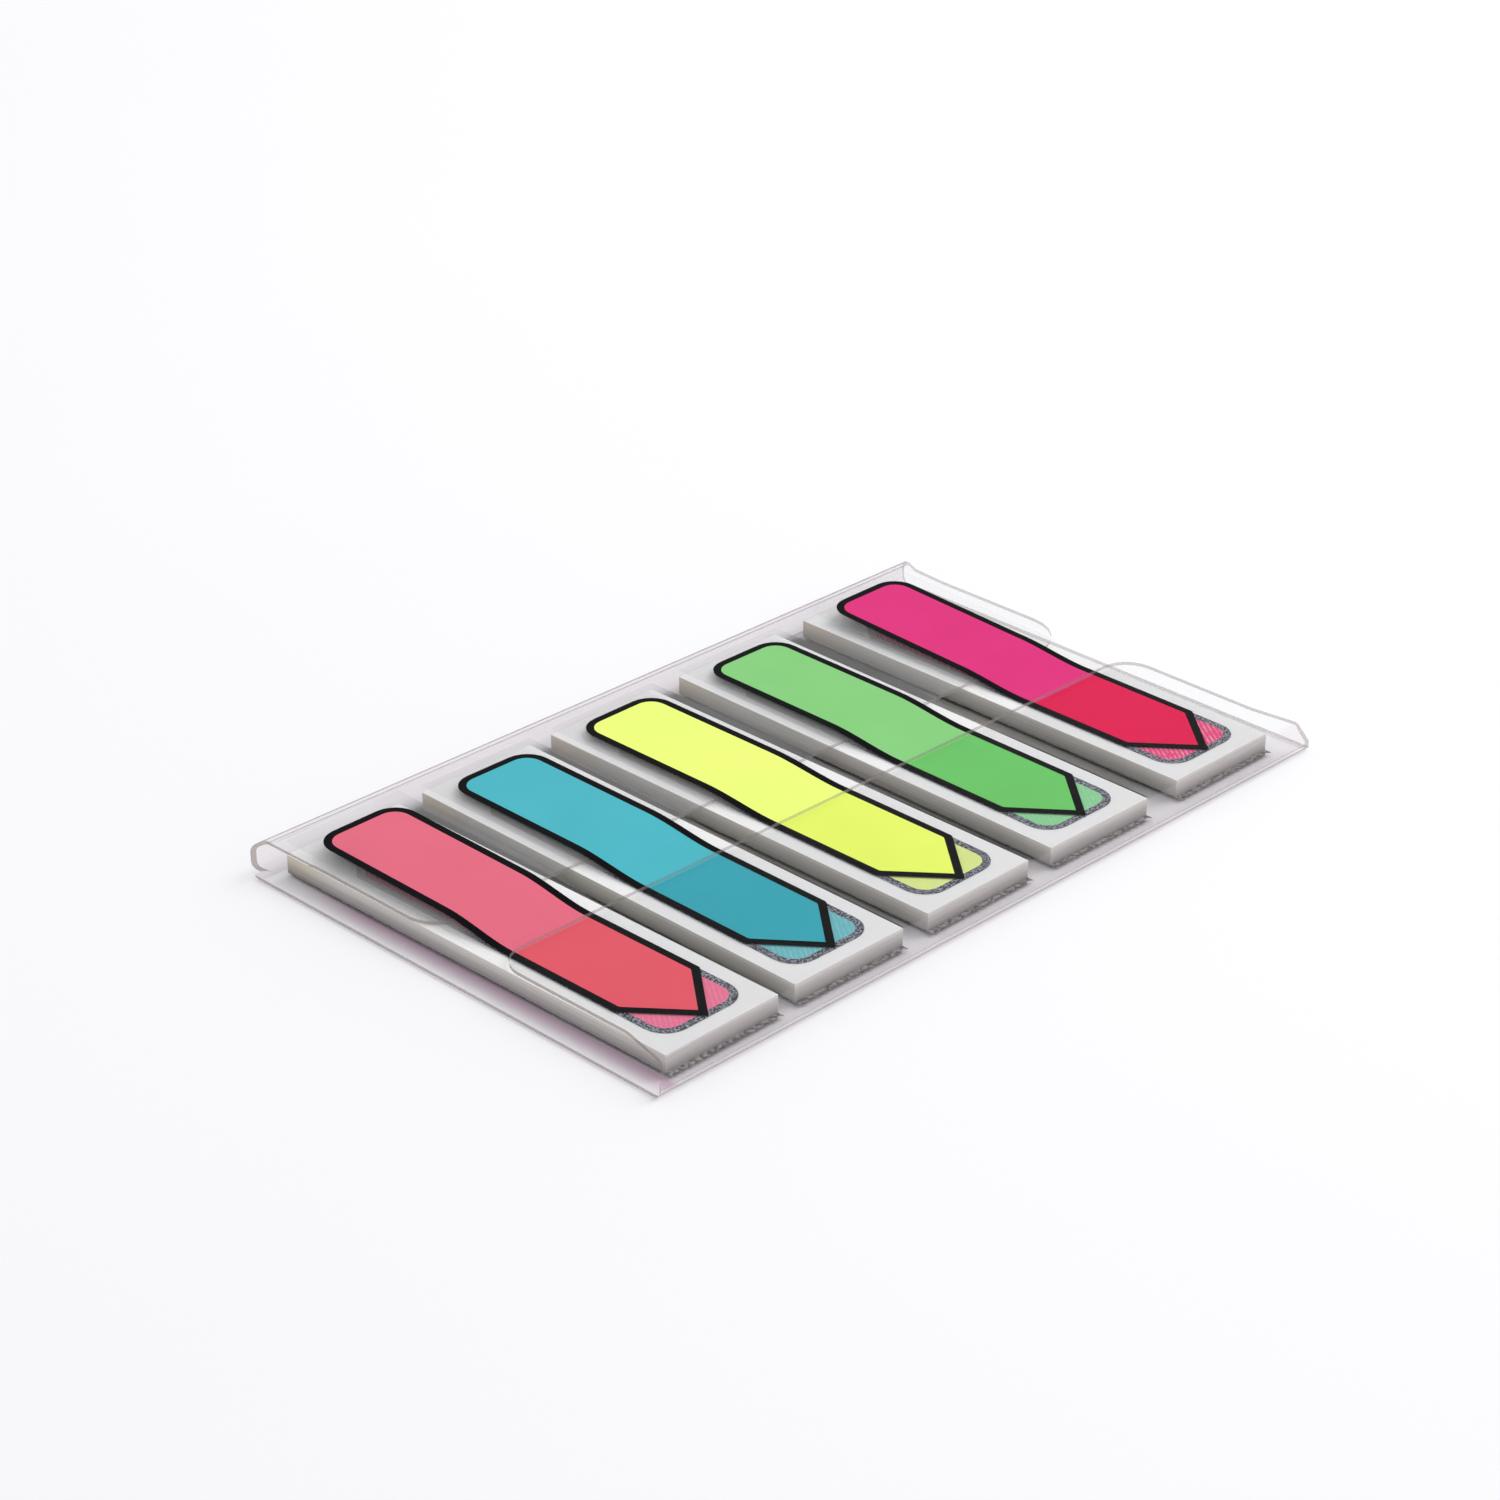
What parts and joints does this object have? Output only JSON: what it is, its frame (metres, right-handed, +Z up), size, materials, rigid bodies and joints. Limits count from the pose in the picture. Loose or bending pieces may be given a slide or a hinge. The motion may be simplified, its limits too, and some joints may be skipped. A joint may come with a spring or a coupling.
{
  "type": "sticky index tabs",
  "caption": "Stacks of arrow-shaped sticky index flags side by side in a flat folded clear plastic dispenser with a pull-out slit.",
  "frame": {"origin": "middle of the underside of the dispenser, on the surface it lies on", "axes": "+X along the row of stacks, +Y from the arrow tips to the round tail ends, +Z up"},
  "size_m": [0.077, 0.0472, 0.0033],
  "materials": {
    "sleeve_plastic": "clear stiff plastic sheet, glossy, about 0.3 mm",
    "flag_film": "clear matt film",
    "flag_stack": "milky white edges and margins of stacked films",
    "tape": "grey adhesive seen through the sheet",
    "black_ink": "printed outline",
    "dull_black_ink": "speckled printed outline of the next flag",
    "coral_ink": "bright translucent printed colour",
    "coral_ink_pale": "printed colour of the next flag, a little paler",
    "teal_ink": "bright translucent printed colour",
    "teal_ink_pale": "printed colour of the next flag, a little paler",
    "yellow_ink": "bright translucent printed colour",
    "yellow_ink_pale": "printed colour of the next flag, a little paler",
    "green_ink": "bright translucent printed colour",
    "green_ink_pale": "printed colour of the next flag, a little paler",
    "magenta_ink": "bright translucent printed colour",
    "magenta_ink_pale": "printed colour of the next flag, a little paler"
  },
  "bodies": {
    "root": {"dispenser_sleeve": "sleeve_plastic", "tape_coral": "tape", "stack_coral": "flag_stack", "next_print_coral": "coral_ink_pale", "next_outline_coral": "dull_black_ink", "top_flag_coral": "flag_film", "arrow_print_coral": "coral_ink", "arrow_outline_coral": "black_ink", "tape_teal": "tape", "stack_teal": "flag_stack", "next_print_teal": "teal_ink_pale", "next_outline_teal": "dull_black_ink", "top_flag_teal": "flag_film", "arrow_print_teal": "teal_ink", "arrow_outline_teal": "black_ink", "tape_yellow": "tape", "stack_yellow": "flag_stack", "next_print_yellow": "yellow_ink_pale", "next_outline_yellow": "dull_black_ink", "top_flag_yellow": "flag_film", "arrow_print_yellow": "yellow_ink", "arrow_outline_yellow": "black_ink", "tape_green": "tape", "stack_green": "flag_stack", "next_print_green": "green_ink_pale", "next_outline_green": "dull_black_ink", "top_flag_green": "flag_film", "arrow_print_green": "green_ink", "arrow_outline_green": "black_ink", "tape_magenta": "tape", "stack_magenta": "flag_stack", "next_print_magenta": "magenta_ink_pale", "next_outline_magenta": "dull_black_ink", "top_flag_magenta": "flag_film", "arrow_print_magenta": "magenta_ink", "arrow_outline_magenta": "black_ink"}
  },
  "joints": []
}
